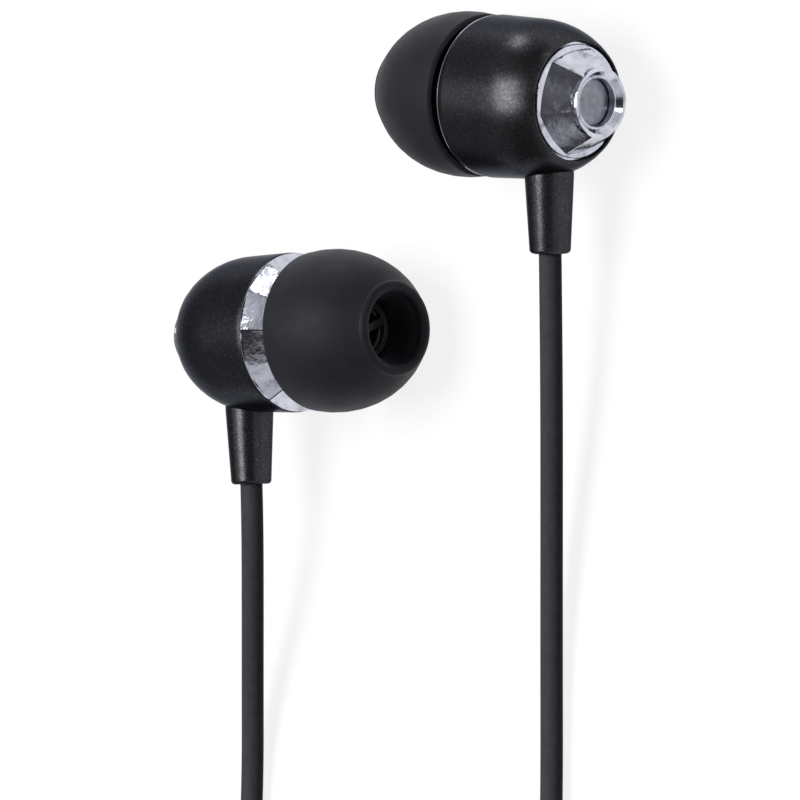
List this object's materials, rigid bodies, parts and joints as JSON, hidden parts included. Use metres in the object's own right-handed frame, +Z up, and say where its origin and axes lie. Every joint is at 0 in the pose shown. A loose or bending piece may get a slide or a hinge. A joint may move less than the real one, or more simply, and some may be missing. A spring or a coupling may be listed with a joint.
{
  "type": "wired earphones",
  "caption": "Pair of in-ear earphones with silicone tips, chrome caps and a split cord, put away in tied coils and ending in a three-pole plug.",
  "frame": {"origin": "centre of the two earphones' box, on the table that they lie on", "axes": "+Z up, +Y away from the cord stems, +X from the left earphone to the right one"},
  "size_m": [0.0453, 0.1501, 0.0161],
  "materials": {
    "housing": "black pearl with fine metal flake",
    "front_housing": "black satin",
    "chrome": "polished",
    "cap_disc": "grey satin",
    "mesh": "fine woven cloth",
    "silicone": "matte",
    "cord": "matte",
    "tie": "matte",
    "plug_moulding": "satin",
    "plug_metal": "polished",
    "insulator": "glossy",
    "driver_plastic": "matte",
    "driver_steel": "zinc plated",
    "magnet": "nickel plated",
    "copper": "enamelled wire",
    "film": "clear film",
    "board": "solder mask"
  },
  "bodies": {
    "earphones": {"cord_splitter": "plug_moulding", "left_bezel_ring": "chrome", "left_cap_disc": "cap_disc", "left_coil": "cord", "left_coil_lead": "cord", "left_coil_tie": "tie", "left_cord": "cord", "left_cord_knot": "cord", "left_driver_cover": "driver_steel", "left_driver_frame": "driver_plastic", "left_driver_magnet": "magnet", "left_driver_top_plate": "driver_steel", "left_driver_yoke": "driver_steel", "left_end_cap": "chrome", "left_lead_wires": "copper", "left_nozzle": "front_housing", "left_nozzle_guard": "front_housing", "left_nozzle_mesh": "mesh", "left_rear_damper": "mesh", "left_rear_shell": "housing", "left_stem": "housing", "left_terminal_board": "board", "main_coil": "cord", "main_coil_tie": "tie", "main_cord": "cord", "main_cord_tail": "cord", "plug_boot": "plug_moulding", "plug_front_insulator": "insulator", "plug_grip": "plug_moulding", "plug_rear_insulator": "insulator", "plug_ring": "plug_metal", "plug_sleeve": "plug_metal", "plug_tip": "plug_metal", "right_bezel_ring": "chrome", "right_cap_disc": "cap_disc", "right_coil": "cord", "right_coil_lead": "cord", "right_coil_tie": "tie", "right_cord": "cord", "right_cord_knot": "cord", "right_driver_cover": "driver_steel", "right_driver_frame": "driver_plastic", "right_driver_magnet": "magnet", "right_driver_top_plate": "driver_steel", "right_driver_yoke": "driver_steel", "right_end_cap": "chrome", "right_lead_wires": "copper", "right_nozzle": "front_housing", "right_nozzle_guard": "front_housing", "right_nozzle_mesh": "mesh", "right_rear_damper": "mesh", "right_rear_shell": "housing", "right_stem": "housing", "right_terminal_board": "board"},
    "left_ear_tip_body": {"left_ear_tip": "silicone"},
    "right_ear_tip_body": {"right_ear_tip": "silicone"},
    "left_film_body": {"left_voice_coil": "copper", "left_diaphragm": "film"},
    "right_film_body": {"right_voice_coil": "copper", "right_diaphragm": "film"}
  },
  "joints": [
    {"name": "left_ear_tip_pull", "type": "slide", "parent": "earphones", "child": "left_ear_tip_body", "axis": [0.9997, 0.0248, 0], "range_m": [-0.0014, 0.0046]},
    {"name": "right_ear_tip_pull", "type": "slide", "parent": "earphones", "child": "right_ear_tip_body", "axis": [-0.9977, 0.0673, 0], "range_m": [0, 0.006]},
    {"name": "left_diaphragm_stroke", "type": "slide", "parent": "earphones", "child": "left_film_body", "axis": [0.9997, 0.0248, 0], "range_m": [-0.0001, 0.0001], "stiffness_N_per_m": 12},
    {"name": "right_diaphragm_stroke", "type": "slide", "parent": "earphones", "child": "right_film_body", "axis": [-0.9977, 0.0673, 0], "range_m": [-0.0001, 0.0001], "stiffness_N_per_m": 12}
  ]
}
